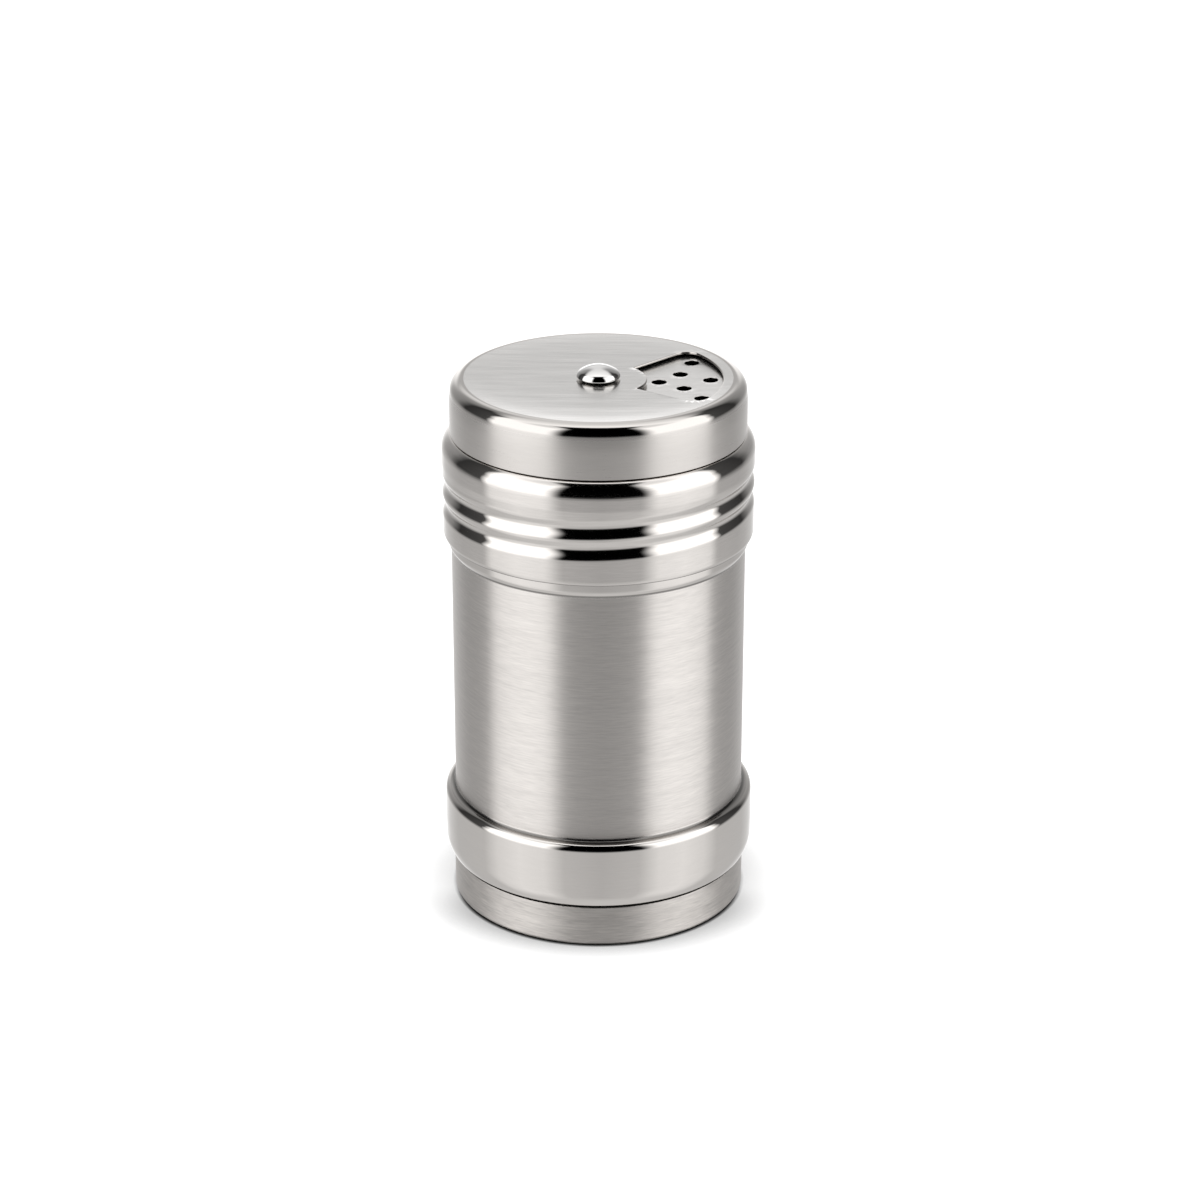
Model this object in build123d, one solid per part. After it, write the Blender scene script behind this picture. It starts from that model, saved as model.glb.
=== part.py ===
from build123d import *
import os
from math import asin, cos, radians, sin, tan

# Spice container: drawn steel jar with a rolled foot bulge, screw lid with sifter holes, rotating cover.
# Millimetres, +Z up, origin at the centre of the foot, -Y faces the viewer. Angles run from +X towards +Y.

# Driving sizes of the sheet and of the jar's outline
sheet = 0.45
tube_radius = 24.58
wall_height = 43.71
wall_crease_fillet = 0.6

# Foot: pressed cup with a coined shoulder that carries the jar's hem
base_height = 7.25
base_step = 0.32
base_corner_fillet = 0.7
base_shoulder_fillet = 0.22
foot_land_width = 1.9
foot_recess = 1.2
foot_recess_run = 1.0
cup_fit = 0.08
cup_top_gap = 0.5
cup_joggle_height = 1.0

# Lower bulge, rolled out of the tube
bulge_reach = 1.625
bulge_height = 12.24
bulge_crown = 0.12
bulge_crown_fillet = 40.0
bulge_ledge_drop = 0.44
bulge_shoulder_fillet = 1.3
hem_overhang = 0.26
hem_rise = 1.52
hem_fillet = 5.9

# Bead under the lid and the mouth
bead_height = 3.3
bead_reach = 0.5
bead_slope_height = 0.9
bead_fillet = 0.8
lip_roll_radius = 0.55

# Screw lid: skirt, collar and riser
bead_shown = 2.4
skirt_height = 17.45
edge_turn_in = 0.17
edge_turn_height = 0.5
edge_fillet = 0.9
collar_proud = 0.08
collar_lower_drop = 4.75
collar_blend_height = 1.3
collar_blend_fillet = 6.0
shoulder_height = 1.23
shoulder_run = 1.46
shoulder_fillet = 3.2
ledge_edge_fillet = 0.9
ledge_run = 0.71
riser_fillet = 0.3
riser_top_fillet = 1.5

# Screw thread, rolled into both sheets
thread_pitch = 3.6
thread_space = 0.89
thread_clearance = 0.25
groove_depth = 0.6
groove_roll_radius = 1.6
ridge_roll_radius = 1.0
groove_turns = 1.833
ridge_turns = 1.667
groove_start_height = 4.7
groove_start_angle = 120.0
groove_leave_radius = 60.0
ridge_leave_radius = 15.0
leave_turn = 20.0

# Gasket between the lip and the lid's ledge
gasket_thickness = 1.2
gasket_width = 1.3
gasket_gap = 0.03
gasket_edge_gap = 0.25

# Rotating cover
cover_skirt_gap = 0.15
cover_height = 9.2
cover_corner_fillet = 2.0
cover_clearance = 0.3
top_dish = 0.5
dish_blend = 3.0
dish_fillet = 150.0
window_angle = 2.5
window_half_angle = 41.0
window_inner_radius = 8.0
window_outer_radius = 20.5
window_corner_fillet = 2.5

# Sifter holes: one fan to a quarter of the plate, the fourth quarter is closed
fan_angle = 3.7
fan_first_row = 10.0
medium_hole_radius = 1.24
medium_row_spacing = 4.25
medium_rows = 3
medium_hole_step = 28.8
fine_hole_radius = 0.65
fine_row_spacing = 2.85
fine_rows = 4
fine_hole_step = 19.0
coarse_hole_radius = 1.9
coarse_row_spacing = 7.0
coarse_rows = 2
coarse_hole_step = 34.0

# Pivot rivet and its washers
pivot_radius = 1.6
pivot_running_gap = 0.05
pivot_fit_gap = 0.02
axial_play = 0.05
rivet_head_radius = 3.62
rivet_dome_height = 2.0
rivet_crown_radius = 5.5
rivet_rim_height = 0.3
rivet_foot_radius = 2.9
rivet_rim_fillet = 0.18
rivet_tail_radius = 2.6
rivet_tail_height = 0.6
spacer_thickness = 0.4
spacer_radius = 5.0
spring_thickness = 0.3
spring_height = 0.6
spring_radius = 4.4
tail_washer_thickness = 0.5
tail_washer_radius = 3.6

# Radii worked out from the driving sizes
tube_bore = tube_radius - sheet
cup_radius = tube_radius + base_step
bulge_radius = tube_radius + bulge_reach
hem_radius = cup_radius + hem_overhang
hem_bore = cup_radius - hem_overhang - cup_fit
cup_wall_radius = hem_bore - cup_fit
bead_radius = tube_radius + bead_reach
band_bore = tube_radius + thread_space
band_radius = band_bore + sheet
collar_radius = band_radius + collar_proud
ledge_radius = collar_radius - shoulder_run
riser_radius = ledge_radius - ledge_run
cover_radius = riser_radius + cover_clearance + sheet
ridge_radius = band_bore - thread_clearance
dish_corner = spacer_radius + dish_blend

# Heights worked out from the driving sizes
bulge_top = base_height + bulge_height
bead_bottom = bulge_top + wall_height
bead_top = bead_bottom + bead_height
skirt_edge = bead_bottom + bead_shown
ledge_top = skirt_edge + skirt_height
ledge_underside = ledge_top - sheet
gasket_top = ledge_underside - gasket_gap
mouth = gasket_top - gasket_thickness - gasket_gap
cover_edge = ledge_top + cover_skirt_gap
cover_top = cover_edge + cover_height
cover_centre = cover_top - top_dish
spacer_top = cover_centre - sheet - axial_play
plate_centre = spacer_top - spacer_thickness
plate_top = plate_centre + top_dish
plate_underside = plate_centre - sheet
spring_bottom = plate_underside - spring_height
tail_washer_bottom = spring_bottom - tail_washer_thickness
groove_start = skirt_edge + groove_start_height
ridge_start = groove_start + thread_pitch / 2


def revolved(section):
    """Solid of revolution about Z from a face drawn as radius and height."""
    return revolve(Plane.XZ * section, axis=Axis.Z)


def pressed_sheet(corners):
    """Drawn sheet part: its outer line, given as radius, height and fillet, thickened inwards."""
    points = [(radius, height) for radius, height, _ in corners]
    fillets = [fillet_radius for _, _, fillet_radius in corners[1:-1]]
    outer_line = FilletPolyline(*points, radius=fillets)
    return revolved(make_face(offset(Wire(outer_line.edges()), amount=sheet, side=Side.LEFT)))


def turned(corners):
    """Solid of revolution with sharp and rounded corners, given as radius, height and fillet."""
    points = [(radius, height) for radius, height, _ in corners]
    fillets = [fillet_radius for _, _, fillet_radius in corners]
    return revolved(make_face(FilletPolyline(*points, radius=fillets, close=True)))


def ring(outer_radius, bore_radius, bottom, top):
    """Plain tube between two heights."""
    corners = [
        (bore_radius, bottom, 0),
        (outer_radius, bottom, 0),
        (outer_radius, top, 0),
        (bore_radius, top, 0),
    ]
    return turned(corners)


def thread_path(radius, start, turns, leave_radius):
    """Helix with a tangent arc at each end, on which the roll leaves the sheet."""
    helix = Helix(thread_pitch, thread_pitch * turns, radius)
    helix = Rot(0, 0, groove_start_angle) * Pos(0, 0, start) * helix
    arcs = []
    for end, heading in ((0, -1), (1, 1)):
        point = helix @ end
        tangent = (helix % end) * heading
        inward = Vector(-point.X, -point.Y, 0).normalized()
        swing_plane = Plane(origin=point, x_dir=tangent, z_dir=tangent.cross(inward))
        arcs.append(swing_plane * JernArc((0, 0), (1, 0), leave_radius, leave_turn * radius / leave_radius))
    return Wire([arcs[0], helix, arcs[1]])


def thread_roll(path, roll_radius):
    """Round bar along a thread path."""
    start_plane = Plane(origin=path @ 0, z_dir=path % 0)
    return sweep(start_plane * Circle(roll_radius), path=path)


def jar_body():
    corners = [
        (hem_radius, base_height, 0),
        (bulge_radius, base_height + hem_rise, hem_fillet),
        (bulge_radius + bulge_crown, base_height + bulge_height / 2, bulge_crown_fillet),
        (bulge_radius, bulge_top - bulge_ledge_drop, bulge_shoulder_fillet),
        (tube_radius, bulge_top, wall_crease_fillet),
        (tube_radius, bead_bottom, wall_crease_fillet),
        (bead_radius, bead_bottom + bead_slope_height, bead_fillet),
        (bead_radius, bead_top - bead_slope_height, bead_fillet),
        (tube_radius, bead_top, wall_crease_fillet),
        (tube_radius, mouth - lip_roll_radius, 0),
    ]
    shell = pressed_sheet(corners)
    below_hem = ring(hem_radius + sheet, tube_bore - sheet, base_height - sheet, base_height)
    lip = revolved(Pos(tube_radius - lip_roll_radius, mouth - lip_roll_radius) * Circle(lip_roll_radius))
    roll_centre = ridge_radius - ridge_roll_radius
    path = thread_path(roll_centre, ridge_start, ridge_turns, ridge_leave_radius)
    outside = ring(band_radius, tube_radius - sheet / 2, bead_top, mouth)
    ridge = thread_roll(path, ridge_roll_radius) & outside
    return shell - below_hem + lip + ridge - thread_roll(path, ridge_roll_radius - sheet)


def base_cup():
    land_radius = cup_radius - base_corner_fillet
    recess_radius = land_radius - foot_land_width - foot_recess_run
    wall_bore = cup_wall_radius - sheet
    ring_bore = cup_radius - sheet
    wall_top = bulge_top - cup_top_gap
    joggle = base_height - cup_joggle_height
    corners = [
        (0, foot_recess, 0),
        (recess_radius, foot_recess, sheet),
        (recess_radius + foot_recess_run, 0, sheet),
        (cup_radius, 0, base_corner_fillet),
        (cup_radius, base_height, base_shoulder_fillet),
        (cup_wall_radius, base_height, 0),
        (cup_wall_radius, wall_top, 0),
        (wall_bore, wall_top, 0),
        (wall_bore, base_height - sheet, sheet),
        (ring_bore, joggle - sheet, sheet),
        (ring_bore, sheet, base_corner_fillet - sheet),
        (recess_radius + foot_recess_run, sheet, sheet / 2),
        (recess_radius, foot_recess + sheet, sheet),
        (0, foot_recess + sheet, 0),
    ]
    return turned(corners)


def hole_fan(turn, hole_radius, row_spacing, rows, step):
    """Drills of one fan: each row has one hole more than the row inside it."""
    drills = []
    for row in range(rows):
        row_radius = fan_first_row + row * row_spacing
        for place in range(row + 1):
            angle = radians(fan_angle + turn + (place - row / 2) * step)
            centre = (row_radius * cos(angle), row_radius * sin(angle), plate_underside)
            drills.append(Pos(*centre) * Cylinder(hole_radius, 2 * (sheet + top_dish)))
    return drills


def screw_lid():
    collar_bottom = ledge_top - collar_lower_drop
    corners = [
        (band_radius - edge_turn_in, skirt_edge, 0),
        (band_radius, skirt_edge + edge_turn_height, edge_fillet),
        (band_radius, collar_bottom - collar_blend_height, collar_blend_fillet),
        (collar_radius, collar_bottom, collar_blend_fillet),
        (collar_radius, ledge_top - shoulder_height, shoulder_fillet),
        (ledge_radius, ledge_top, ledge_edge_fillet),
        (riser_radius, ledge_top, riser_fillet),
        (riser_radius, plate_top, riser_top_fillet),
        (dish_corner, plate_centre, dish_fillet),
        (0, plate_centre, 0),
    ]
    shell = pressed_sheet(corners)
    roll_centre = band_radius - groove_depth + groove_roll_radius
    path = thread_path(roll_centre, groove_start, groove_turns, groove_leave_radius)
    inside = ring(band_radius - sheet / 2, tube_bore, skirt_edge, ledge_underside)
    rib = thread_roll(path, groove_roll_radius + sheet) & inside
    drills = [Pos(0, 0, plate_underside) * Cylinder(pivot_radius + pivot_fit_gap, 4 * sheet)]
    drills += hole_fan(0, medium_hole_radius, medium_row_spacing, medium_rows, medium_hole_step)
    drills += hole_fan(90, fine_hole_radius, fine_row_spacing, fine_rows, fine_hole_step)
    drills += hole_fan(180, coarse_hole_radius, coarse_row_spacing, coarse_rows, coarse_hole_step)
    return shell + rib - thread_roll(path, groove_roll_radius) - drills


def lid_gasket():
    outer_radius = ledge_radius - gasket_edge_gap
    return ring(outer_radius, outer_radius - gasket_width, mouth + gasket_gap, gasket_top)


def window_cutter():
    """Ring sector with sharp inner and rounded outer corners."""
    reach = 2 * window_outer_radius
    half_width = reach * tan(radians(window_half_angle))
    wedge = make_face(Polyline((0, 0), (reach, -half_width), (reach, half_width), close=True))
    sector = (Circle(window_outer_radius) - Circle(window_inner_radius)) & wedge
    outer_corners = sector.vertices().sort_by_distance((0, 0))[2:]
    sector = fillet(outer_corners, window_corner_fillet)
    return Pos(0, 0, cover_edge) * Rot(0, 0, window_angle) * extrude(sector, cover_height)


def dial_cover():
    corners = [
        (cover_radius, cover_edge, 0),
        (cover_radius, cover_top, cover_corner_fillet),
        (dish_corner, cover_centre, dish_fillet),
        (0, cover_centre, 0),
    ]
    pivot_hole = Pos(0, 0, cover_centre) * Cylinder(pivot_radius + pivot_running_gap, 4 * sheet)
    return pressed_sheet(corners) - window_cutter() - pivot_hole


def pivot_rivet():
    foot = cover_centre + axial_play
    rim = foot + rivet_rim_height
    apex = rim + rivet_dome_height
    tail_top = tail_washer_bottom
    tail = tail_top - rivet_tail_height
    crown_centre = apex - rivet_crown_radius
    rim_drop = rim - crown_centre
    edge_radius = rivet_crown_radius ** 2 - rim_drop ** 2 - rivet_head_radius ** 2
    edge_radius /= 2 * (rivet_crown_radius - rivet_head_radius)
    crown_turn = asin((rivet_head_radius - edge_radius) / (rivet_crown_radius - edge_radius))
    crown_end = (rivet_crown_radius * sin(crown_turn), crown_centre + rivet_crown_radius * cos(crown_turn))
    crown_middle = (
        rivet_crown_radius * sin(crown_turn / 2),
        crown_centre + rivet_crown_radius * cos(crown_turn / 2),
    )
    edge_middle = (
        rivet_head_radius - edge_radius * (1 - cos(radians(45) - crown_turn / 2)),
        rim + edge_radius * sin(radians(45) - crown_turn / 2),
    )
    crown = ThreePointArc(crown_end, crown_middle, (0, apex))
    edge = ThreePointArc((rivet_head_radius, rim), edge_middle, crown_end)
    lower_line = Polyline(
        (0, apex),
        (0, tail),
        (rivet_tail_radius, tail),
        (rivet_tail_radius, tail_top),
        (pivot_radius, tail_top),
        (pivot_radius, foot),
        (rivet_foot_radius, foot),
        (rivet_head_radius, rim),
    )
    section = make_face([edge, crown, *lower_line.edges()])
    rim_corner = section.vertices().sort_by_distance((rivet_head_radius, rim))[0]
    return revolved(fillet(rim_corner, rivet_rim_fillet))


def spacer_washer():
    return ring(spacer_radius, pivot_radius + pivot_fit_gap, plate_centre, spacer_top)


def spring_washer():
    bore = pivot_radius + pivot_running_gap
    corners = [
        (bore, plate_underside - spring_thickness, 0),
        (spring_radius, spring_bottom, 0),
        (spring_radius, spring_bottom + spring_thickness, 0),
        (bore, plate_underside, 0),
    ]
    return turned(corners)


def tail_washer():
    return ring(tail_washer_radius, pivot_radius + pivot_fit_gap, tail_washer_bottom, spring_bottom)


pieces = {
    "jar_body": jar_body(),
    "base_cup": base_cup(),
    "screw_lid": screw_lid(),
    "lid_gasket": lid_gasket(),
    "dial_cover": dial_cover(),
    "pivot_rivet": pivot_rivet(),
    "spacer_washer": spacer_washer(),
    "spring_washer": spring_washer(),
    "tail_washer": tail_washer(),
}

os.makedirs("parts", exist_ok=True)
for name, piece in pieces.items():
    export_step(piece, f"parts/{name}.step")
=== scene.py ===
from math import atan2, ceil, cos, degrees, hypot, pi, radians, sin, tan

import bmesh
import bpy
import numpy as np
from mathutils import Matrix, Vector
from mathutils.geometry import delaunay_2d_cdt


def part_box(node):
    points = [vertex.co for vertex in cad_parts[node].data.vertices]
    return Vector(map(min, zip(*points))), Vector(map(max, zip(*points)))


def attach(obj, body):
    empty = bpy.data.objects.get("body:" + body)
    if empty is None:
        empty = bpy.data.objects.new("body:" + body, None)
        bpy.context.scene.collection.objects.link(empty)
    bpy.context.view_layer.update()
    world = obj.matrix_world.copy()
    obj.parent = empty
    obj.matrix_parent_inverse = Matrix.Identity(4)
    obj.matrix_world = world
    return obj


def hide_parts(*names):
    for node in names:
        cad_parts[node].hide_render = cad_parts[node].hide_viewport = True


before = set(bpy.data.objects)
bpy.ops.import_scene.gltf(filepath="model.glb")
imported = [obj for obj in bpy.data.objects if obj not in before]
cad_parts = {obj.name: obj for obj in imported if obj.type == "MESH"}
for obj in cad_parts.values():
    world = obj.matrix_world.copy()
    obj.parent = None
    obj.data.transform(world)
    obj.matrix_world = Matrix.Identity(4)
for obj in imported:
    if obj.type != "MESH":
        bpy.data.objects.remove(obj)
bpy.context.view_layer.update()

# Lengths are millimetres until a mesh is made. Angles are degrees from +X towards +Y, and -Y faces the viewer.
mm = 0.001


def outer_radius(node):
    """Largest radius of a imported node, which is turned about Z."""
    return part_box(node)[1].x / mm


def low(node):
    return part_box(node)[0].z / mm


def high(node):
    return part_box(node)[1].z / mm


# Sizes taken from the frame
cup_radius = outer_radius("base_cup")
bulge_crown_radius = outer_radius("jar_body")
base_height = low("jar_body")
mouth = high("jar_body")
skirt_edge = low("screw_lid")
cup_wall_top = high("base_cup")
collar_radius = outer_radius("screw_lid")
cover_edge = low("dial_cover")
cover_radius = outer_radius("dial_cover")
rivet_tail = low("pivot_rivet")
rivet_apex = high("pivot_rivet")
tail_washer_bottom = low("tail_washer")
spacer_radius = outer_radius("spacer_washer")
plate_centre = low("spacer_washer")

# Sheet and its cut edges
sheet = 0.45
edge_round = 0.12
hole_round = 0.05
window_round = 0.18

# Jar wall, rolled bulge, bead and lip
base_step = 0.32
tube_radius = cup_radius - base_step
crease_fillet = 0.6
bulge_crown = 0.12
bulge_radius = bulge_crown_radius - bulge_crown / 2
bulge_height = 12.24
bulge_ledge_drop = 0.44
bulge_shoulder_fillet = 1.3
bulge_crown_fillet = 40.0
seam_lift = 0.48
hem_reach_in = 0.05
hem_overhang = 0.558
hem_curl_radius = 0.4
hem_rise = 1.466
hem_fillet = 5.8
bead_below_skirt = 2.4
bead_height = 3.3
bead_reach = 0.5
bead_slope = 0.9
bead_fillet = 0.8
lip_roll_radius = 0.55
lip_roll_turn = 300.0

# Base cup
cup_wall_step = 0.9
cup_wall_fillet = 0.05
seam_margin = 0.01
foot_corner_fillet = 0.7
shoulder_drop = 0.15
foot_shoulder_fillet = 0.12
foot_land = 1.9
foot_recess = 1.2
foot_recess_run = 1.0
cup_joggle = 1.0

# Lid skirt, collar, riser and thread
band_radius = collar_radius - 0.08
ledge_top = cover_edge - 0.15
edge_turn_in = 0.17
edge_turn_height = 0.5
edge_fillet = 0.9
collar_drop = 4.75
collar_blend = 1.3
collar_fillet = 6.0
shoulder_height = 1.23
shoulder_run = 1.46
shoulder_fillet = 3.2
ledge_edge_fillet = 0.9
ledge_run = 0.71
riser_fillet = 0.3
riser_top_fillet = 1.5
thread_pitch = 3.6
thread_first_angle = 120.0
groove_first_height = skirt_edge + 4.7
groove_depth = 0.6
groove_sweep = 660.0
ridge_lift = 0.64
ridge_half_width = 1.3
ridge_sweep = 600.0
thread_fade = 22.0

# Cover, its dish and window
cover_height = 9.2
cover_corner_fillet = 2.0
skirt_draw = 0.24
skirt_draw_height = 3.5
skirt_draw_fillet = 41.0
top_dish = 0.5
dish_steps = ((20.0, 0.24, 100.0), (15.0, 0.085, 150.0), (spacer_radius + 3.0, 0.0, 150.0))
pivot_hole_radius = 1.65
window_angle = 2.5
window_half_angle = 41.0
window_inner_radius = 8.0
window_outer_radius = 20.5
window_corner_fillet = 2.5
window_inner_fillet = 0.25

# Fans of sifter holes: turn, hole radius, row spacing, rows, step between holes
fan_angle = 3.7
fan_first_row = 10.0
hole_fans = (
    (0.0, 1.24, 4.25, 3, 28.8),
    (90.0, 0.65, 2.85, 4, 19.0),
    (180.0, 1.9, 7.0, 2, 34.0),
)

# Rivet
rivet_head_radius = 3.62
rivet_crown_radius = 5.5
rivet_rim_height = 0.3
rivet_foot_radius = 2.9
rivet_rim_fillet = 0.18
rivet_foot_fillet = 0.15
rivet_shank_radius = 1.6
rivet_tail_radius = 2.6
rivet_tail_fillet = 0.25
rivet_neck_fillet = 0.1
rivet_head_gap = 0.05
rivet_hole_gap = 0.02

# Fineness of the meshes: arc steps are degrees per run, rows and cells millimetres, the rest numbers of points
around = 288
arc_step = 6.0
rivet_arc_step = 12.0
edge_arc_step = 15.0
thread_row = 0.15
neck_row = thread_row * 1.5
disc_cell = 1.1
lip_points = 21
rim_points = 4
pivot_points = 48
hole_points = 40
window_corner_points = 16
window_inner_points = 8
window_outer_arc_points = 48
window_inner_arc_points = 24
rivet_edge_points = 24
rivet_crown_points = 28

# Heights worked out from the sizes above
bulge_top = base_height + bulge_height
bead_bottom = skirt_edge - bead_below_skirt
bead_top = bead_bottom + bead_height
cover_top = cover_edge + cover_height
cover_centre = cover_top - top_dish
plate_top = plate_centre + top_dish
riser_radius = collar_radius - shoulder_run - ledge_run
hem_radius = cup_radius + hem_overhang
hem_edge = base_height + seam_lift
cup_wall_radius = cup_radius - cup_wall_step


def rounded(corners, step=arc_step):
    """Points along a line of corners given as first and second coordinate and fillet radius."""
    points = [corners[0][:2]]
    for before, corner, after in zip(corners, corners[1:], corners[2:]):
        here = np.array(corner[:2], float)
        back = np.array(before[:2], float) - here
        ahead = np.array(after[:2], float) - here
        back /= np.linalg.norm(back)
        ahead /= np.linalg.norm(ahead)
        turn = pi - np.arccos(np.clip(back @ ahead, -1, 1))
        radius = corner[2]
        if radius == 0 or turn < 1e-6:
            points.append(tuple(here))
            continue
        centre_way = (back + ahead) / np.linalg.norm(back + ahead)
        centre = here + centre_way * radius / cos(turn / 2)
        first = here + back * radius * tan(turn / 2) - centre
        last = here + ahead * radius * tan(turn / 2) - centre
        count = max(2, ceil(degrees(turn) / step))
        for k in range(count + 1):
            share = k / count
            spoke = first * sin((1 - share) * turn) + last * sin(share * turn)
            points.append(tuple(centre + spoke / sin(turn)))
    points.append(corners[-1][:2])
    return points


def sheet_section(corners, thickness=sheet):
    """Outer and inner line of a drawn sheet whose outer line has its inside on the left. Its corners are rounded."""
    outer = np.array(rounded(corners))
    runs = np.diff(outer, axis=0)
    lefts = np.stack([-runs[:, 1], runs[:, 0]], 1)
    lefts /= np.linalg.norm(lefts, axis=1)[:, None]
    at_points = np.vstack([lefts[:1], lefts[:-1] + lefts[1:], lefts[-1:]])
    at_points /= np.linalg.norm(at_points, axis=1)[:, None]
    cosines = np.einsum("ij,ij->i", at_points, np.vstack([lefts[:1], lefts]))
    inner = outer + at_points * thickness / cosines[:, None]
    return outer, inner


def subdivided(points, longest, low_z, high_z):
    """The same line with no run longer than a limit between two heights."""
    fine = [points[0]]
    for start, end in zip(points, points[1:]):
        start = np.array(start)
        end = np.array(end)
        between = max(start[1], end[1]) > low_z and min(start[1], end[1]) < high_z
        count = max(1, ceil(np.linalg.norm(end - start) / longest)) if between else 1
        for k in range(1, count + 1):
            fine.append(tuple(start + (end - start) * k / count))
    return fine


flat_face_weight = 60
weld_distance = 1e-7


class Shell:
    """Collects the vertices and faces of one piece, in millimetres."""

    def __init__(self):
        self.points = []
        self.faces = []
        self.second_faces = slice(0, 0)

    def ring(self, radius, height, bend=None):
        """One circle of vertices. bend gives the change of radius at an angle and a height."""
        start = len(self.points)
        if radius < 1e-6:
            self.points.append((0.0, 0.0, height))
            return [start]
        angles = np.arange(around) * 360 / around
        reach = radius + (bend(angles, height) if bend else 0.0)
        xs = reach * np.cos(np.radians(angles))
        ys = reach * np.sin(np.radians(angles))
        self.points += [(float(x), float(y), height) for x, y in zip(xs, ys)]
        return list(range(start, start + around))

    def strip(self, below, above):
        """Faces between two closed rows of vertices, or between a row and one point."""
        count = max(len(below), len(above))
        for k in range(count):
            n = (k + 1) % count
            if len(below) == 1:
                self.faces.append((below[0], above[n], above[k]))
            elif len(above) == 1:
                self.faces.append((below[k], below[n], above[0]))
            else:
                self.faces.append((below[k], below[n], above[n], above[k]))

    def turned(self, line, closed=False, bend=None):
        """Surface of revolution of a line of radius and height, which is walked with the inside on its left."""
        rows = [self.ring(radius, height, bend) for radius, height in line]
        pairs = list(zip(rows, rows[1:]))
        if closed:
            pairs.append((rows[-1], rows[0]))
        for below, above in pairs:
            self.strip(below, above)

    def pierced_disc(self, radius, top, thickness, holes):
        """Disc of sheet with holes, each an outline and an edge rounding.

        top gives the height of the disc's upper face at a radius.
        """
        disc_start = len(self.faces)
        loops = [circle(0, 0, radius, around)]
        loops += [grown(hole, rim) for hole, rim in holes]
        flat = [Vector(p) for loop in loops for p in loop]
        edges = []
        start = 0
        for loop in loops:
            edges += [(start + k, start + (k + 1) % len(loop)) for k in range(len(loop))]
            start += len(loop)
        flat += [Vector(p) for p in grid_inside(radius, loops[1:])]
        places, _, triangles, *_ = delaunay_2d_cdt(flat, edges, [], 0, 1e-6)
        kept = [t for t in triangles if not in_a_hole(places, t, loops[1:])]
        for drop, turn in ((0.0, 1), (thickness, -1)):
            first = len(self.points)
            for p in places:
                self.points.append((p.x, p.y, top(hypot(p.x, p.y)) - drop))
            self.faces += [tuple(first + v for v in t[::turn]) for t in kept]
        self.second_faces = slice(disc_start, len(self.faces))
        for hole, rim in holes:
            self.hole_wall(hole, top, thickness, rim)

    def hole_wall(self, hole, top, thickness, rim):
        """Wall of a hole with its upper and lower edge rounded."""
        quarter = [(rim * (1 - sin(a)), rim * (1 - cos(a))) for a in np.linspace(0, pi / 2, rim_points)]
        steps = [(reach, drop) for reach, drop in quarter]
        steps += [(reach, thickness - drop) for reach, drop in reversed(quarter)]
        rows = []
        for reach, drop in steps:
            start = len(self.points)
            for x, y in grown(hole, reach):
                self.points.append((x, y, top(hypot(x, y)) - drop))
            rows.append(list(range(start, len(self.points))))
        for upper, lower in zip(rows, rows[1:]):
            self.strip(upper, lower)

    def piece(self, name, materials, body, node, slot):
        """Makes the object, welds its seams and ties it to the frame. A second material goes on its second faces."""
        mesh = bpy.data.meshes.new(name)
        places = [(x * mm, y * mm, z * mm) for x, y, z in self.points]
        mesh.from_pydata(places, [], self.faces)
        mesh.update()
        for material in materials:
            mesh.materials.append(material)
        if len(materials) > 1:
            for face in mesh.polygons[self.second_faces]:
                face.material_index = 1
        obj = bpy.data.objects.new(name, mesh)
        bpy.context.scene.collection.objects.link(obj)
        weld(mesh)
        mesh.polygons.foreach_set("use_smooth", [True] * len(mesh.polygons))
        obj.modifiers.new("even_shading", "WEIGHTED_NORMAL").weight = flat_face_weight
        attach(obj, body)
        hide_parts(node)
        return obj


def weld(mesh):
    work = bmesh.new()
    work.from_mesh(mesh)
    bmesh.ops.remove_doubles(work, verts=work.verts, dist=weld_distance)
    bmesh.ops.recalc_face_normals(work, faces=work.faces)
    work.to_mesh(mesh)
    work.free()


def circle(x, y, radius, count):
    angles = [2 * pi * k / count for k in range(count)]
    return [(x + radius * cos(a), y + radius * sin(a)) for a in angles]


def grown(loop, amount):
    """A closed loop, walked anticlockwise, moved outwards."""
    points = np.array(loop)
    runs = np.roll(points, -1, 0) - points
    rights = np.stack([runs[:, 1], -runs[:, 0]], 1)
    rights /= np.linalg.norm(rights, axis=1)[:, None]
    at_points = rights + np.roll(rights, 1, 0)
    at_points /= np.linalg.norm(at_points, axis=1)[:, None]
    cosines = np.einsum("ij,ij->i", at_points, rights)
    return [tuple(p) for p in points + at_points * amount / cosines[:, None]]


def inside_loop(x, y, loop):
    """True if a point lies in a closed loop."""
    inside = False
    for (ax, ay), (bx, by) in zip(loop, loop[1:] + loop[:1]):
        if (ay > y) != (by > y) and x < ax + (y - ay) * (bx - ax) / (by - ay):
            inside = not inside
    return inside


def in_a_hole(places, triangle, loops):
    middle = sum((places[v] for v in triangle), Vector((0, 0))) / 3
    return any(inside_loop(middle.x, middle.y, loop) for loop in loops)


def grid_inside(radius, loops):
    """Points on rings inside a disc, clear of its holes."""
    points = []
    margin = disc_cell * 0.45
    edges = np.array([p for loop in loops for p in loop])
    for ring in range(1, int(radius / disc_cell)):
        reach = radius - ring * disc_cell
        for x, y in circle(0, 0, reach, max(6, round(2 * pi * reach / disc_cell))):
            if np.min(np.hypot(edges[:, 0] - x, edges[:, 1] - y)) < margin:
                continue
            if not any(inside_loop(x, y, loop) for loop in loops):
                points.append((x, y))
    return points


def bell(distance, half_width):
    """Smooth hump: 1 at the middle and 0 from half_width on."""
    return 0.5 + 0.5 * np.cos(pi * np.clip(distance / half_width, -1, 1))


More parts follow.
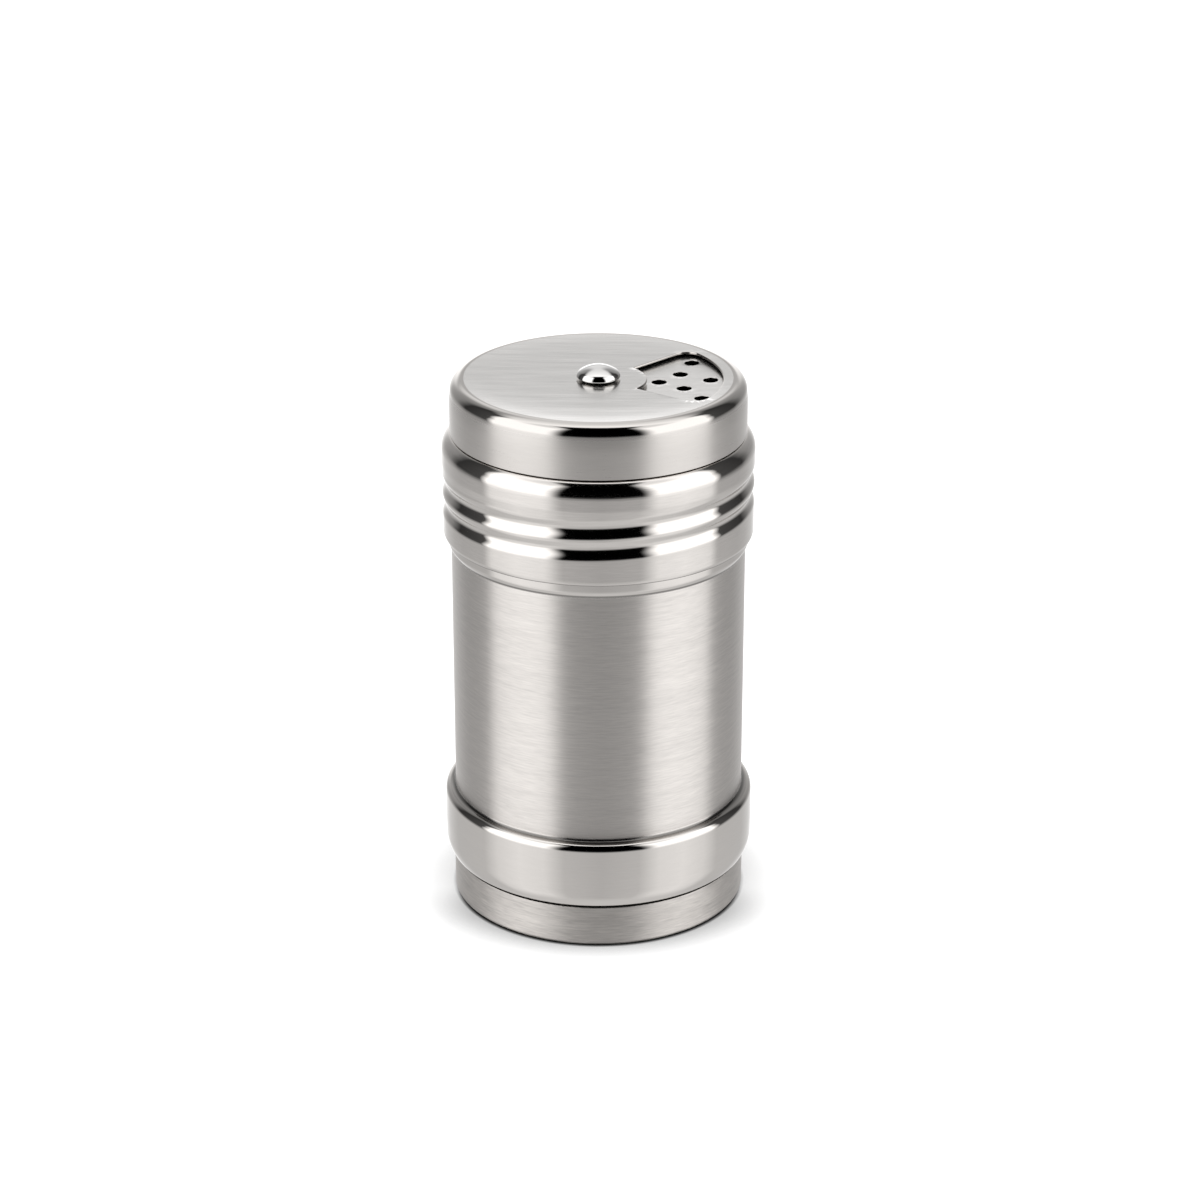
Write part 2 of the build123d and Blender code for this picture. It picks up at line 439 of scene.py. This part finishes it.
def thread(first_height, sweep, half_width, size):
    """Change of radius of a helical groove or ridge that fades in and out at its ends."""

    def change(angles, height):
        total = np.zeros(len(angles))
        for lap in range(-1, int(sweep // 360) + 2):
            turned = (angles - thread_first_angle) % 360 + 360 * lap
            from_end = np.minimum(turned, sweep - turned)
            fade = np.clip(from_end / thread_fade + 0.5, 0, 1)
            middle = first_height + thread_pitch * turned / 360
            total += size * bell(height - middle, half_width) * fade**2 * (3 - 2 * fade)
        return total

    return change


def dished(outer_line):
    """Height of a turned line at a radius, for its part inside a disc."""
    line = np.array(sorted(tuple(p) for p in outer_line))
    return lambda radius: float(np.interp(radius, line[:, 0], line[:, 1]))


def with_edge(outer, inner):
    """Joins both sides of a sheet at its first end with a rounded edge."""
    first = np.array(outer[0])
    other = np.array(inner[0])
    places = [inner[1], other, first, outer[1]]
    fillets = [0, edge_round, edge_round, 0]
    rim = rounded([tuple(place) + (fillet,) for place, fillet in zip(places, fillets)], edge_arc_step)
    return [tuple(p) for p in inner[:0:-1]] + rim[1:-1] + [tuple(p) for p in outer[1:]]


def jar_piece(*materials):
    corners = [
        (cup_radius + hem_reach_in, hem_edge, 0),
        (hem_radius, hem_edge, hem_curl_radius),
        (bulge_radius, hem_edge + hem_rise, hem_fillet),
        (bulge_crown_radius, base_height + bulge_height / 2, bulge_crown_fillet),
        (bulge_radius, bulge_top - bulge_ledge_drop, bulge_shoulder_fillet),
        (tube_radius, bulge_top, crease_fillet),
        (tube_radius, bead_bottom, crease_fillet),
        (tube_radius + bead_reach, bead_bottom + bead_slope, bead_fillet),
        (tube_radius + bead_reach, bead_top - bead_slope, bead_fillet),
        (tube_radius, bead_top, crease_fillet),
        (tube_radius, mouth - lip_roll_radius, 0),
    ]
    outer, inner = sheet_section(corners)
    lip_radius = tube_radius - lip_roll_radius
    lip_height = mouth - lip_roll_radius
    lip = [
        (lip_radius + lip_roll_radius * cos(a), lip_height + lip_roll_radius * sin(a))
        for a in np.radians(np.linspace(0, lip_roll_turn, lip_points))
    ]
    line = with_edge(outer, inner[:-1])[:-1] + lip
    line = subdivided(line, neck_row, bead_top, mouth - 2 * lip_roll_radius)
    ridge = thread(groove_first_height + thread_pitch / 2, ridge_sweep, ridge_half_width, ridge_lift)

    def bend(angles, height):
        on_neck = bead_top + crease_fillet < height < mouth - 2 * lip_roll_radius
        return ridge(angles, height) * on_neck

    shell = Shell()
    shell.turned(line, closed=True, bend=bend)
    return shell.piece("jar_wall", materials, "jar", "jar_body", "jar_steel")


def cup_piece(*materials):
    land_radius = cup_radius - foot_corner_fillet
    recess_radius = land_radius - foot_land - foot_recess_run
    wall_bore = cup_wall_radius - sheet
    ring_bore = cup_radius - sheet
    joggle = base_height - cup_joggle
    shoulder = base_height - shoulder_drop
    corners = [
        (0, foot_recess, 0),
        (recess_radius, foot_recess, sheet),
        (recess_radius + foot_recess_run, 0, sheet),
        (cup_radius, 0, foot_corner_fillet),
        (cup_radius, shoulder, foot_shoulder_fillet),
        (cup_wall_radius, shoulder, cup_wall_fillet),
        (cup_wall_radius, cup_wall_top, edge_round),
        (wall_bore, cup_wall_top, edge_round),
        (wall_bore, base_height - sheet, sheet),
        (ring_bore, joggle - sheet, sheet),
        (ring_bore, sheet, foot_corner_fillet - sheet),
        (recess_radius + foot_recess_run, sheet, sheet / 2),
        (recess_radius, foot_recess + sheet, sheet),
        (0, foot_recess + sheet, 0),
    ]
    line = rounded(corners)
    # The shoulder under the jar's hem takes the second material, which paints the gap's shade.
    in_seam = [k for k, (r, z) in enumerate(line) if z > shoulder - seam_margin and r > wall_bore + sheet / 2]
    start, end = in_seam[0], in_seam[-1]
    shell = Shell()
    shell.turned(line[: start + 1])
    shell.turned(line[end:])
    seam_start = len(shell.faces)
    shell.turned(line[start : end + 1])
    shell.second_faces = slice(seam_start, len(shell.faces))
    return shell.piece("foot_cup", materials, "jar", "base_cup", "base_steel")


def lid_piece(*materials):
    collar_bottom = ledge_top - collar_drop
    corners = [
        (band_radius - edge_turn_in, skirt_edge, 0),
        (band_radius, skirt_edge + edge_turn_height, edge_fillet),
        (band_radius, collar_bottom - collar_blend, collar_fillet),
        (collar_radius, collar_bottom, collar_fillet),
        (collar_radius, ledge_top - shoulder_height, shoulder_fillet),
        (collar_radius - shoulder_run, ledge_top, ledge_edge_fillet),
        (riser_radius, ledge_top, riser_fillet),
        (riser_radius, plate_top, riser_top_fillet),
        *dish(plate_centre),
    ]
    outer, inner = sheet_section(corners)
    disc_radius = riser_radius - riser_top_fillet - sheet
    holes = [(circle(0, 0, rivet_shank_radius + rivet_hole_gap, pivot_points), hole_round)]
    for turn, hole_radius, spacing, rows, step in hole_fans:
        for row in range(rows):
            for place in range(row + 1):
                angle = radians(fan_angle + turn + (place - row / 2) * step)
                reach = fan_first_row + row * spacing
                outline = circle(reach * cos(angle), reach * sin(angle), hole_radius, hole_points)
                holes.append((outline, hole_round))
    groove = thread(groove_first_height, groove_sweep, thread_pitch / 2, -groove_depth)
    shell = sheet_cap(outer, inner, disc_radius, holes, groove)
    return shell.piece("lid_shell", materials, "lid", "screw_lid", "lid_steel")


def cover_piece(*materials):
    corners = [
        (cover_radius, cover_edge, 0),
        (cover_radius, cover_top - skirt_draw_height, skirt_draw_fillet),
        (cover_radius - skirt_draw, cover_top, cover_corner_fillet),
        *dish(cover_centre),
    ]
    outer, inner = sheet_section(corners)
    disc_radius = cover_radius - cover_corner_fillet - sheet
    holes = [(circle(0, 0, pivot_hole_radius, pivot_points), hole_round), (window_loop(), window_round)]
    shell = sheet_cap(outer, inner, disc_radius, holes)
    return shell.piece("cover_shell", materials, "dial", "dial_cover", "cover_steel")


def dish(centre):
    """Corners of a disc's face that rises ever steeper from its middle to its rim, from the outside in."""
    return [(radius, centre + rise, fillet) for radius, rise, fillet in dish_steps] + [(0, centre, 0)]


def sheet_cap(outer, inner, disc_radius, holes, bend=None):
    """Drawn cap: a turned skirt and a pierced disc that closes it."""
    top = dished(outer)
    skirt_outer = [tuple(p) for p in outer if p[0] > disc_radius]
    skirt_outer.append((disc_radius, top(disc_radius)))
    skirt_inner = [tuple(p) for p in inner if p[0] > disc_radius]
    skirt_inner.append((disc_radius, top(disc_radius) - sheet))
    line = with_edge(np.array(skirt_outer), np.array(skirt_inner))
    if bend:
        line = subdivided(line, thread_row, skirt_edge + 1, ledge_top - shoulder_height)
    shell = Shell()
    shell.turned(line, bend=bend)
    shell.pierced_disc(disc_radius, top, sheet, holes)
    return shell


def window_loop():
    """Outline of the cover's window, walked anticlockwise: a ring sector with rounded corners."""

    def corner(radius, side, fillet):
        """Tangent points and centre angles of a fillet between an arc and a straight side."""
        reach = radius - fillet if fillet == window_corner_fillet else radius + fillet
        offset = np.arcsin(fillet / reach)
        angle = radians(window_angle + side * window_half_angle) - side * offset
        return reach * cos(angle), reach * sin(angle)

    loop = []
    for side in (-1, 1):
        x, y = corner(window_outer_radius, side, window_corner_fillet)
        straight = radians(window_angle + side * window_half_angle)
        start, end = (straight - pi / 2, atan2(y, x)) if side < 0 else (atan2(y, x), straight + pi / 2)
        for a in np.linspace(start, end, window_corner_points):
            loop.append((x + window_corner_fillet * cos(a), y + window_corner_fillet * sin(a)))
        if side < 0:
            top_x, top_y = corner(window_outer_radius, 1, window_corner_fillet)
            for a in np.linspace(atan2(y, x), atan2(top_y, top_x), window_outer_arc_points)[1:-1]:
                loop.append((window_outer_radius * cos(a), window_outer_radius * sin(a)))
    for side in (1, -1):
        x, y = corner(window_inner_radius, side, window_inner_fillet)
        straight = radians(window_angle + side * window_half_angle)
        facing = atan2(y, x) + pi
        start, end = (straight + pi / 2, facing) if side > 0 else (facing, straight + 3 * pi / 2)
        for a in np.linspace(start, end, window_inner_points):
            loop.append((x + window_inner_fillet * cos(a), y + window_inner_fillet * sin(a)))
        if side > 0:
            end_x, end_y = corner(window_inner_radius, -1, window_inner_fillet)
            for a in np.linspace(atan2(y, x), atan2(end_y, end_x), window_inner_arc_points)[1:-1]:
                loop.append((window_inner_radius * cos(a), window_inner_radius * sin(a)))
    return loop


def rivet_piece(*materials):
    foot = cover_centre + rivet_head_gap
    rim = foot + rivet_rim_height
    crown_centre = rivet_apex - rivet_crown_radius
    rim_drop = rim - crown_centre
    edge_radius = rivet_crown_radius**2 - rim_drop**2 - rivet_head_radius**2
    edge_radius /= 2 * (rivet_crown_radius - rivet_head_radius)
    edge_centre = rivet_head_radius - edge_radius
    crown_turn = np.arcsin(edge_centre / (rivet_crown_radius - edge_radius))
    edge = [
        (edge_centre + edge_radius * sin(a), rim + edge_radius * cos(a))
        for a in np.linspace(pi / 2, crown_turn, rivet_edge_points)
    ]
    crown = [
        (rivet_crown_radius * sin(a), crown_centre + rivet_crown_radius * cos(a))
        for a in np.linspace(crown_turn, 0, rivet_crown_points)
    ]
    dome = edge + crown[1:]
    below = [
        (0, rivet_tail, 0),
        (rivet_tail_radius, rivet_tail, rivet_tail_fillet),
        (rivet_tail_radius, tail_washer_bottom, rivet_neck_fillet),
        (rivet_shank_radius, tail_washer_bottom, 0),
        (rivet_shank_radius, foot, 0),
        (rivet_foot_radius, foot, rivet_foot_fillet),
        (rivet_head_radius, rim, rivet_rim_fillet),
        dome[1] + (0,),
    ]
    shell = Shell()
    shell.turned(rounded(below, rivet_arc_step) + dome[2:])
    return shell.piece("rivet_head", materials, "lid", "pivot_rivet", "rivet_steel")


def node_tool(owner):
    """Returns a function that adds a node and sets its inputs, which may be numbers or sockets."""
    tree = owner.node_tree

    def add(kind, inputs=None, **settings):
        made = tree.nodes.new(kind)
        for key, value in settings.items():
            setattr(made, key, value)
        for key, value in (inputs or {}).items():
            if isinstance(value, bpy.types.NodeSocket):
                tree.links.new(value, made.inputs[key])
            else:
                made.inputs[key].default_value = value
        return made

    return add


def maths(add, operation, first, second=0.0, third=0.0):
    return add("ShaderNodeMath", {0: first, 1: second, 2: third}, operation=operation).outputs[0]


def ramp(add, value, stops):
    """Level at a value, from a line through stops of value and level."""
    low, high = stops[0][0], stops[-1][0]
    peak = max(level for _, level in stops)
    share = maths(add, "DIVIDE", maths(add, "SUBTRACT", value, low), high - low)
    node = add("ShaderNodeValToRGB", {0: share})
    elements = node.color_ramp.elements
    while len(elements) < len(stops):
        elements.new(0.5)
    for element, (position, level) in zip(elements, stops):
        element.position = (position - low) / (high - low)
        element.color = (level / peak, level / peak, level / peak, 1)
    return maths(add, "MULTIPLY", node.outputs[0], peak)


def noise(add, place, marks, detail):
    """Noise stretched by marks per metre along X, Y and Z, as a swing about 0."""
    scaled = add("ShaderNodeVectorMath", {0: place, 1: marks}, operation="MULTIPLY").outputs[0]
    field = add("ShaderNodeTexNoise", {"Vector": scaled, "Scale": 1.0, "Detail": detail, "Roughness": 0.6})
    return maths(add, "SUBTRACT", field.outputs[0], 0.5)


# Marks of the steel: depth of a scratch in millimetres, size and share of the soft clouds, swing left on polished
# zones, and the turn of the highlight that makes it run across the marks
scratch_depth = 0.002
cloud_scale = 0.13
cloud_share = 0.5
polished_swing = 0.15
quarter_turn = 0.25


def steel(
    name, tint, marks, grain, brushed, polished=None, zones=None, crease_shades=(), anisotropy=0.0, linear=False
):
    """Steel sheet with brush marks.

    marks is their number per metre along X, Y and Z, and grain how much they show. brushed and polished are the two
    finishes' roughness, and zones the brushed share at a height. creases gives the height, half width and colour
    share of the painted shade that darkens a crease. Anisotropic steel is brushed round the axis, or along X if
    linear.
    """
    if polished is None:
        polished = brushed
    material = bpy.data.materials.new(name)
    material.use_nodes = True
    add = node_tool(material)
    shader = material.node_tree.nodes["Principled BSDF"]
    links = material.node_tree.links
    place = add("ShaderNodeTexCoord").outputs["Object"]
    height = maths(add, "DIVIDE", add("ShaderNodeSeparateXYZ", {0: place}).outputs[2], mm)
    share = ramp(add, height, zones) if zones else 1.0
    fine = noise(add, place, marks, 3.0)
    clouds = noise(add, place, [m * cloud_scale for m in marks], 2.0)
    swing = maths(add, "MULTIPLY_ADD", clouds, cloud_share, fine)
    strength = maths(add, "MULTIPLY_ADD", share, 1 - polished_swing, polished_swing)
    swing = maths(add, "MULTIPLY", swing, strength)
    rough = maths(add, "MULTIPLY_ADD", share, brushed - polished, polished)
    rough = maths(add, "MULTIPLY", rough, maths(add, "MULTIPLY_ADD", swing, 2 * grain, 1.0))
    links.new(rough, shader.inputs["Roughness"])
    dark = [c * (1 - grain) for c in tint]
    light = [min(1.0, c * (1 + grain)) for c in tint]
    tone = add(
        "ShaderNodeMix",
        {"Factor": maths(add, "ADD", swing, 0.5), "A": (*dark, 1), "B": (*light, 1)},
        data_type="RGBA",
    )
    colour = tone.outputs["Result"]
    # Painted shade: the colour darkens in a band round each crease height, where shade falls in the crease.
    for middle, half_width, shaded_level in crease_shades:
        away = maths(add, "ABSOLUTE", maths(add, "SUBTRACT", height, middle))
        limits = {"Value": away, "From Min": half_width / 3, "From Max": half_width, "To Min": shaded_level}
        crease_shade_factor = add("ShaderNodeMapRange", limits).outputs[0]
        colour = add("ShaderNodeVectorMath", {0: colour, "Scale": crease_shade_factor}, operation="SCALE").outputs[0]
    links.new(colour, shader.inputs["Base Color"])
    bump = add("ShaderNodeBump", {"Strength": 1.0, "Distance": scratch_depth * mm, "Height": swing})
    links.new(bump.outputs[0], shader.inputs["Normal"])
    shader.inputs["Metallic"].default_value = 1.0
    shader.inputs["Anisotropic"].default_value = anisotropy
    if anisotropy and linear:
        across = add("ShaderNodeCombineXYZ", {1: 1.0})
        turned = add("ShaderNodeVectorTransform", {0: across.outputs[0]}, convert_from="OBJECT", convert_to="WORLD")
        links.new(turned.outputs[0], shader.inputs["Tangent"])
    elif anisotropy:
        around_axis = add("ShaderNodeTangent", direction_type="RADIAL", axis="Z")
        links.new(around_axis.outputs[0], shader.inputs["Tangent"])
        shader.inputs["Anisotropic Rotation"].default_value = quarter_turn
    return material


def mottled(name, dark, light, marks, depth, roughness, gloss):
    """Plain surface with a mottle of two colours.

    depth is that of its texture in millimetres, and gloss its specular level.
    """
    material = bpy.data.materials.new(name)
    material.use_nodes = True
    add = node_tool(material)
    shader = material.node_tree.nodes["Principled BSDF"]
    place = add("ShaderNodeTexCoord").outputs["Object"]
    mottle = maths(add, "ADD", noise(add, place, (marks, marks, marks), 3.0), 0.5)
    tone = add(
        "ShaderNodeMix",
        {"Factor": mottle, "A": (*dark, 1), "B": (*light, 1)},
        data_type="RGBA",
    )
    bump = add("ShaderNodeBump", {"Strength": 1.0, "Distance": depth * mm, "Height": mottle})
    material.node_tree.links.new(tone.outputs["Result"], shader.inputs["Base Color"])
    material.node_tree.links.new(bump.outputs[0], shader.inputs["Normal"])
    shader.inputs["Roughness"].default_value = roughness
    shader.inputs["Specular IOR Level"].default_value = gloss
    return material


def dress(node, material):
    """Gives a CAD node its one material."""
    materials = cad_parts[node].data.materials
    materials.clear()
    materials.append(material)


# Colours, brush marks per metre, and heights at which a finish changes
steel_tint = (0.67, 0.641, 0.615)
disc_tint = (0.66, 0.645, 0.63)
skirt_tint = (0.61, 0.584, 0.56)
base_tint = (0.56, 0.533, 0.508)
rivet_tint = (0.72, 0.71, 0.70)
washer_tint = (0.6, 0.59, 0.58)
round_marks = (340, 340, 4200)
flat_marks = (100, 3600, 260)
even_marks = (900, 900, 900)
wall_start = bulge_top + 0.4
wall_end = bead_bottom - 0.3
corner_start = cover_top - cover_corner_fillet
jar_steel = steel(
    "jar_steel",
    steel_tint,
    round_marks,
    grain=0.21,
    brushed=0.35,
    polished=0.06,
    zones=[(wall_start - 0.5, 0), (wall_start, 1), (wall_end, 1), (wall_end + 0.5, 0)],
    # Painted shade in the crease at the top of the bulge and in the crease below the bead.
    crease_shades=[(bulge_top, 0.35, 0.3), (bead_bottom + 0.1, 0.3, 0.4)],
    anisotropy=0.88,
)
base_steel = steel("base_steel", base_tint, round_marks, grain=0.4, brushed=0.42, anisotropy=0.6)
lid_steel = steel(
    "lid_steel",
    steel_tint,
    round_marks,
    grain=0.08,
    brushed=0.075,
    # Painted shade along the lid's lower edge, where the gap to the jar lies in shadow.
    crease_shades=[(skirt_edge, 0.25, 0.35)],
    anisotropy=0.9,
)
plate_steel = steel("plate_steel", disc_tint, flat_marks, grain=0.12, brushed=0.22, anisotropy=0.5, linear=True)
skirt_steel = steel(
    "skirt_steel",
    skirt_tint,
    round_marks,
    grain=0.05,
    brushed=0.28,
    polished=0.06,
    zones=[(cover_edge, 1), (corner_start - 0.6, 1), (corner_start + 0.2, 0), (cover_top, 0)],
    anisotropy=0.2,
)
top_steel = steel("top_steel", disc_tint, flat_marks, grain=0.18, brushed=0.15, anisotropy=0.5, linear=True)
rivet_steel = steel("rivet_steel", rivet_tint, even_marks, grain=0.05, brushed=0.05)
# Near-black material for the foot's shoulder under the jar's hem: painted shade of the narrow gap between them.
painted_seam_shade = mottled(
    "painted_seam_shade", (0.012, 0.011, 0.01), (0.03, 0.028, 0.026), marks=600, depth=0.01, roughness=0.9, gloss=0.1
)
silicone = mottled("silicone", (0.82, 0.82, 0.8), (0.88, 0.88, 0.86), marks=900, depth=0.01, roughness=0.55, gloss=0.5)

jar_piece(jar_steel)
cup_piece(base_steel, painted_seam_shade)
lid_piece(lid_steel, plate_steel)
cover_piece(skirt_steel, top_steel)
rivet_piece(rivet_steel)

for node in ("spacer_washer", "spring_washer", "tail_washer"):
    dress(node, steel(node + "_steel", washer_tint, even_marks, grain=0.15, brushed=0.3))
dress("lid_gasket", silicone)


# Levels of the studio. round_ pairs are a turn from the viewer and a level, up_ pairs a height above the horizon and a
# level, both in degrees. over_ pairs are a distance behind the object, as a share of the height above it, and a level.
studio_turn = 2.4
round_table = [
    (0, 0.61), (28, 0.69), (44, 1.0), (64, 1.08), (84, 0.94),
    (98, 0.68), (135, 0.63), (155, 0.78), (180, 1.25),
]
table_below = 0.76
round_walls = [
    (0, 1.7), (88, 1.7), (95, 0.08), (122, 0.04),
    (135, 0.32), (150, 0.45), (162, 0.72), (180, 0.76),
]
up_backdrop = [
    (10, 1.6), (12.4, 1.5), (15, 1.1), (18, 0.6),
    (19.5, 0.58), (22, 0.8), (25, 1.05), (34, 0.95),
]
over_scrim = [(-0.2, 1.1), (0, 1.5), (0.3, 1.2), (0.6, 1.0), (2.0, 1.05)]

# Bands over which one part of the studio gives way to the next
steep_table = (-45, -65)
horizon_band = (-26.0, -3.0)
backdrop_side = (154, 176)
scrim_edge = (44, 58)
flag_side = (28, 43)
flag_overhead_side = (0.3, 0.45)
flag_overhead_back = (-0.22, -0.15)
wall_lean_from = 18
wall_lean = 0.45


def studio_world():
    """Studio round the object, by direction: angles in degrees from the viewer's side and from the horizon.

    A black flag stands behind the camera and a large soft box at each side, with a dark gap behind it. A pale
    backdrop closes the studio, a scrim hangs overhead, and a pale table lies below. Metal reflects all of this,
    while camera and transmission rays see plain white.
    """
    world = bpy.data.worlds.new("studio")
    bpy.context.scene.world = world
    world.use_nodes = True
    add = node_tool(world)
    tree = world.node_tree
    axes = add("ShaderNodeSeparateXYZ", {0: add("ShaderNodeTexCoord").outputs["Generated"]}).outputs
    turn = maths(add, "ARCTAN2", axes[0], maths(add, "MULTIPLY", axes[1], -1.0))
    turn = maths(add, "SUBTRACT", maths(add, "DEGREES", turn), studio_turn)
    turn = maths(add, "ABSOLUTE", turn)
    height = maths(add, "DEGREES", maths(add, "ARCSINE", axes[2]))

    def smooth(value, start, end):
        limits = {"Value": value, "From Min": start, "From Max": end}
        return add("ShaderNodeMapRange", limits, interpolation_type="SMOOTHSTEP").outputs[0]

    def blend(share, first, second):
        return add("ShaderNodeMix", {"Factor": share, "A": first, "B": second}).outputs["Result"]

    ceiling = maths(add, "MAXIMUM", axes[2], 0.001)
    sideways = maths(add, "DIVIDE", maths(add, "ABSOLUTE", axes[0]), ceiling)
    backwards = maths(add, "DIVIDE", axes[1], ceiling)

    table = ramp(add, turn, round_table)
    table = blend(smooth(height, *steep_table), table, table_below)
    raised = maths(add, "MAXIMUM", maths(add, "SUBTRACT", height, wall_lean_from), 0.0)
    leaning_turn = maths(add, "SUBTRACT", turn, maths(add, "MULTIPLY", raised, wall_lean))
    walls = ramp(add, leaning_turn, round_walls)
    walls = blend(smooth(turn, *backdrop_side), walls, ramp(add, height, up_backdrop))
    scrim = ramp(add, backwards, over_scrim)
    above = blend(smooth(height, *scrim_edge), walls, scrim)
    beside_flag = maths(add, "MINIMUM", smooth(turn, *flag_side), smooth(sideways, *flag_overhead_side))
    lit_share = maths(add, "MAXIMUM", beside_flag, smooth(backwards, *flag_overhead_back))
    above = maths(add, "MULTIPLY", above, lit_share)
    horizon = {"Value": height, "From Min": horizon_band[0], "From Max": horizon_band[1]}
    level = blend(add("ShaderNodeMapRange", horizon).outputs[0], table, above)
    lit = add("ShaderNodeBackground", {"Color": level, "Strength": 1.0})
    white = add("ShaderNodeBackground", {"Color": (1, 1, 1, 1), "Strength": 1.0})
    seen = add("ShaderNodeLightPath").outputs
    straight = maths(add, "MAXIMUM", seen["Is Camera Ray"], seen["Is Transmission Ray"])
    both = add("ShaderNodeMixShader", {0: straight, 1: lit.outputs[0], 2: white.outputs[0]})
    tree.links.new(both.outputs[0], tree.nodes["World Output"].inputs[0])


# Table: reach of its shade in metres, and how deep the shade is at the sides and in front
floor_half = 3.0
box_direction = (0.75, -0.35, 0.56)
shade_reach = 0.01
gap_reach = 0.0007
front_band = (-0.1, -0.6)
side_shade, front_shade = 1.2, 3.3
side_gap, front_gap = 0.6, 3.0
table_glow = 1.05
paper_share = 0.35


def studio_floor():
    """White table. Metal looks through it at the studio's own table, dimmed by the shadow round the foot."""
    mesh = bpy.data.meshes.new("floor")
    corners = [(x * floor_half, y * floor_half, 0) for x, y in ((-1, -1), (1, -1), (1, 1), (-1, 1))]
    mesh.from_pydata(corners, [], [(0, 1, 2, 3)])
    floor = bpy.data.objects.new("floor", mesh)
    bpy.context.scene.collection.objects.link(floor)
    material = bpy.data.materials.new("white_table")
    material.use_nodes = True
    add = node_tool(material)
    tree = material.node_tree
    tree.nodes.remove(tree.nodes["Principled BSDF"])
    open_shares = []
    for side in (-1, 1):
        x, y, z = box_direction
        towards_box = add("ShaderNodeCombineXYZ", {0: x * side, 1: y, 2: z}).outputs[0]
        share = add("ShaderNodeAmbientOcclusion", {"Distance": shade_reach, "Normal": towards_box})
        open_shares.append(share.outputs["AO"])
    place = add("ShaderNodeTexCoord").outputs["Object"]
    reach = add("ShaderNodeVectorMath", {0: place}, operation="LENGTH").outputs["Value"]
    forward = maths(add, "DIVIDE", add("ShaderNodeSeparateXYZ", {0: place}).outputs[1], reach)
    limits = {"Value": forward, "From Min": front_band[0], "From Max": front_band[1]}
    front = add("ShaderNodeMapRange", limits, interpolation_type="SMOOTHSTEP").outputs[0]
    depth = maths(add, "MULTIPLY_ADD", front, front_shade - side_shade, side_shade)
    gap_depth = maths(add, "MULTIPLY_ADD", front, front_gap - side_gap, side_gap)
    gap_share = add("ShaderNodeAmbientOcclusion", {"Distance": gap_reach}).outputs["AO"]
    gap_share = maths(add, "POWER", gap_share, gap_depth)
    open_share = maths(add, "MULTIPLY", maths(add, "ADD", *open_shares), 0.5)
    glow = maths(add, "MULTIPLY", maths(add, "POWER", open_share, depth), table_glow)
    paper = add("ShaderNodeBsdfDiffuse", {"Color": maths(add, "MULTIPLY", gap_share, paper_share)})
    light = add("ShaderNodeEmission", {"Color": (1, 1, 1, 1), "Strength": maths(add, "MULTIPLY", glow, gap_share)})
    white = add("ShaderNodeAddShader", {0: paper.outputs[0], 1: light.outputs[0]})
    through = add("ShaderNodeBsdfTransparent", {"Color": gap_share})
    glossy = add("ShaderNodeLightPath").outputs["Is Glossy Ray"]
    both = add("ShaderNodeMixShader", {0: glossy, 1: white.outputs[0], 2: through.outputs[0]})
    tree.links.new(both.outputs[0], tree.nodes["Material Output"].inputs[0])
    mesh.materials.append(material)
    floor.visible_diffuse = False


camera_lens = 97.79
camera_place = (0.00026, -0.50674, 0.26579)
camera_lean = 67.17


def camera():
    """The camera that was fitted to the photo."""
    data = bpy.data.cameras.new("camera")
    data.sensor_width = 36.0
    data.lens = camera_lens
    data.clip_start = 0.01
    data.clip_end = 20
    obj = bpy.data.objects.new("camera", data)
    bpy.context.scene.collection.objects.link(obj)
    obj.location = camera_place
    obj.rotation_euler = (radians(camera_lean), 0, 0)
    bpy.context.scene.camera = obj


studio_world()
studio_floor()
camera()
bpy.context.scene.view_settings.view_transform = "Standard"
